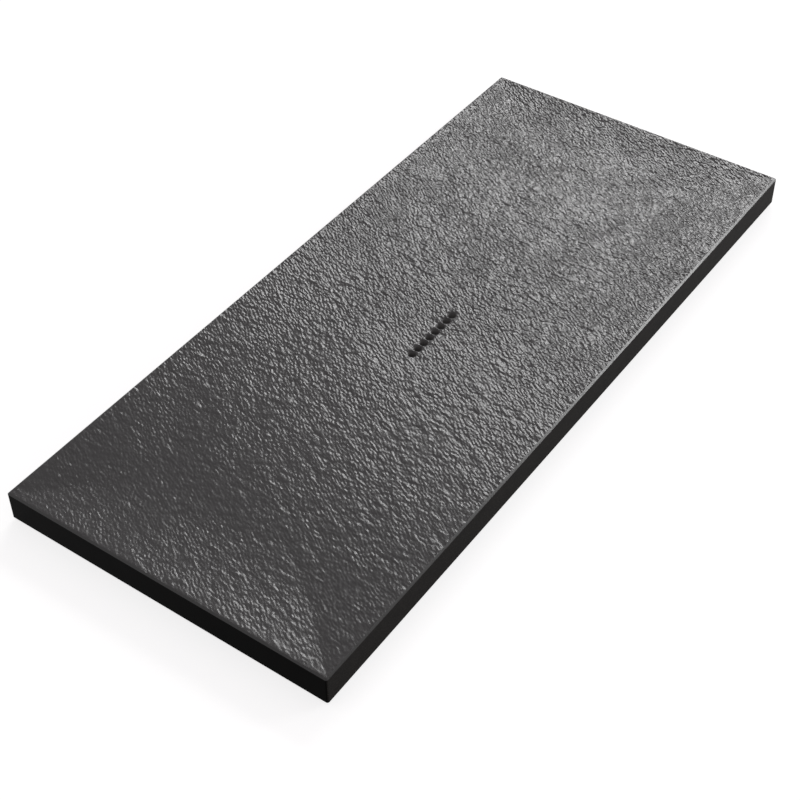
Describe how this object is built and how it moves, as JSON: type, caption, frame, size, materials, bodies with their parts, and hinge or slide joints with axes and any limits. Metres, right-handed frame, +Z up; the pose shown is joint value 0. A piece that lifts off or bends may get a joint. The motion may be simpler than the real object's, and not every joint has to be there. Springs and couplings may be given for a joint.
{
  "type": "gongfu tea tray",
  "caption": "Long rectangular black stone tea tray with a dished riven top, a row of drain holes, a steel catch pan with hose spout underneath and silicone foot pads.",
  "frame": {"origin": "on the table under the middle of the slab, at the underside of the foot pads", "axes": "+X along the slab from the near short end to the far one, +Y towards the long side where the hose leaves, +Z up"},
  "size_m": [0.8, 0.35, 0.0345],
  "materials": {
    "black_stone": "riven matte top, polished edges",
    "pan_steel": "brushed",
    "seal_silicone": "matte",
    "spout_steel": "turned",
    "washer_rubber": "matte",
    "nut_steel": "machined",
    "screw_steel": "bright",
    "plug_nylon": "moulded",
    "pad_silicone": "matte"
  },
  "bodies": {
    "root": {"stone_slab": "black_stone", "catch_pan": "pan_steel", "pan_seal": "seal_silicone", "hose_spout": "spout_steel", "spout_washer": "washer_rubber", "spout_nut": "nut_steel", "pan_screws": "screw_steel", "screw_plugs": "plug_nylon", "foot_pad_near_left": "pad_silicone", "foot_pad_near_right": "pad_silicone", "foot_pad_mid_near_left": "pad_silicone", "foot_pad_mid_near_right": "pad_silicone", "foot_pad_mid_far_left": "pad_silicone", "foot_pad_mid_far_right": "pad_silicone", "foot_pad_far_left": "pad_silicone", "foot_pad_far_right": "pad_silicone"}
  },
  "joints": []
}
